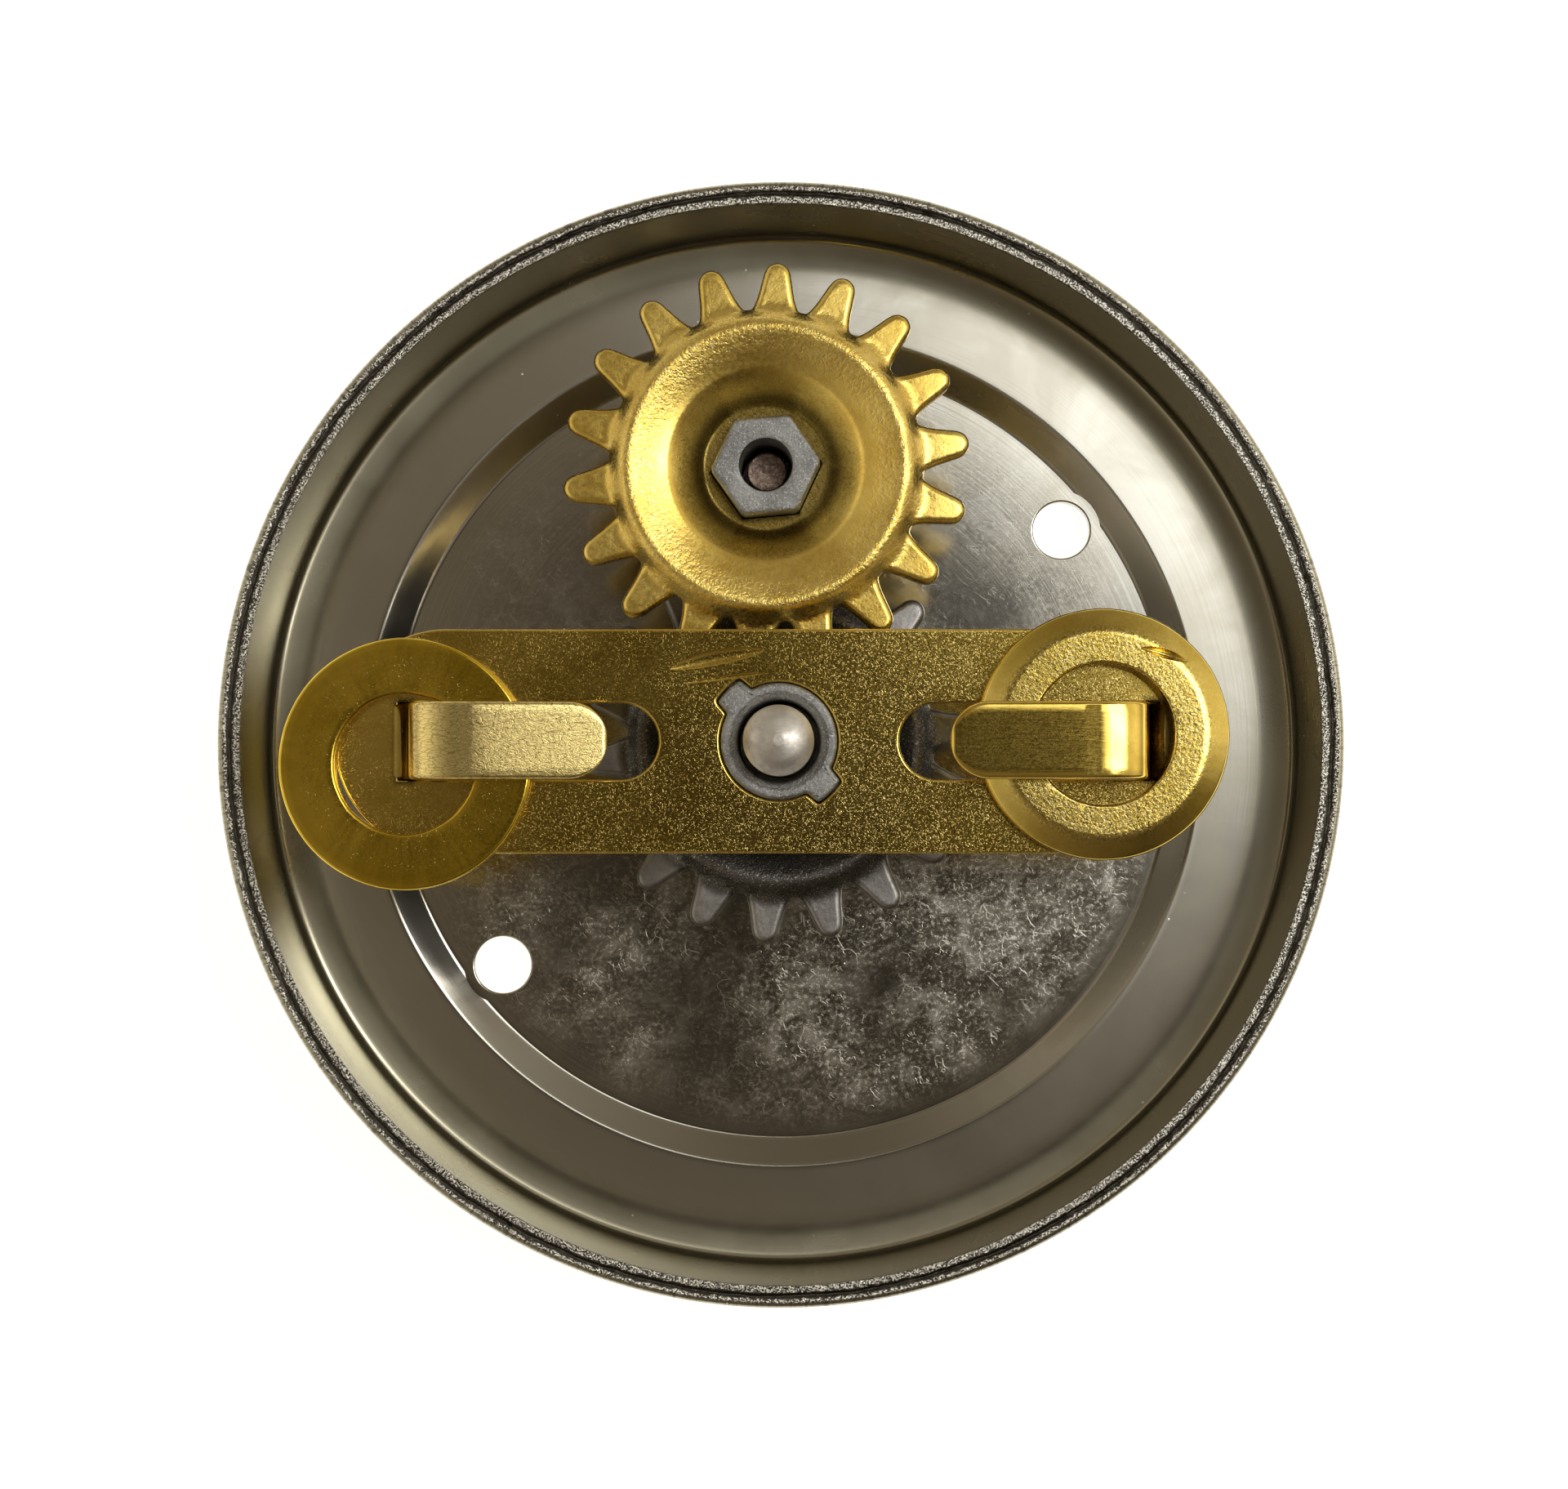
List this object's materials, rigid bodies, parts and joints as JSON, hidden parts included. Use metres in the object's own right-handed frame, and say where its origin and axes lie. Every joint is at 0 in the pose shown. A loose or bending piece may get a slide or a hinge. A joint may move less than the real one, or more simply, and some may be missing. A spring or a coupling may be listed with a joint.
{
  "type": "geared bell striker unit",
  "caption": "Round pressed dish with a two-stage coaxial spur gear train that spins an arm carrying loose striker washers on hooks, as inside a twist bell.",
  "frame": {"origin": "on the main axis, at the back face of the dish's sunk centre disc, which is the lowest face", "axes": "+Z out of the open side of the dish along the main axis, +X along the rotor arm at rest, +Y near the layshaft side"},
  "size_m": [0.072, 0.072, 0.0216],
  "materials": {
    "nickel_plate": "worn satin nickel plating",
    "bronze": "matte sintered",
    "steel": "polished",
    "grey_plate": "satin grey plating",
    "cast_zinc": "matte die cast",
    "brass_plate": "worn satin brass plating"
  },
  "bodies": {
    "base": {"base_dish": "nickel_plate", "spindle_bush": "bronze", "layshaft_pin": "steel"},
    "input": {"drive_spindle": "steel", "input_gear": "grey_plate"},
    "layshaft": {"layshaft_hub": "cast_zinc", "layshaft_gear": "brass_plate"},
    "rotor": {"rotor_hub": "cast_zinc", "rotor_arm": "brass_plate"},
    "striker_left": {"striker_washer_left": "brass_plate"},
    "striker_right": {"striker_washer_right": "brass_plate"}
  },
  "joints": [
    {"name": "rotor_spin", "type": "hinge", "parent": "base", "child": "rotor", "pos_m": [0, 0, 0.0178], "axis": [0, 0, 1], "continuous": true},
    {"name": "layshaft_spin", "type": "hinge", "parent": "base", "child": "layshaft", "pos_m": [-0.00086, 0.01758, 0.0125], "axis": [0, 0, 1], "continuous": true},
    {"name": "input_spin", "type": "hinge", "parent": "base", "child": "input", "pos_m": [0, 0, 0.008], "axis": [0, 0, 1], "continuous": true},
    {"name": "striker_left_slide", "type": "slide", "parent": "rotor", "child": "striker_left", "axis": [-0.8557, 0.5174, 0], "range_m": [0, 0.0027]},
    {"name": "striker_right_slide", "type": "slide", "parent": "rotor", "child": "striker_right", "axis": [0.9974, -0.0726, 0], "range_m": [0, 0.0054]}
  ],
  "couplings": [
    {"joint": "layshaft_spin", "follows": "rotor_spin", "ratio": -0.5},
    {"joint": "input_spin", "follows": "rotor_spin", "ratio": 0.25}
  ]
}
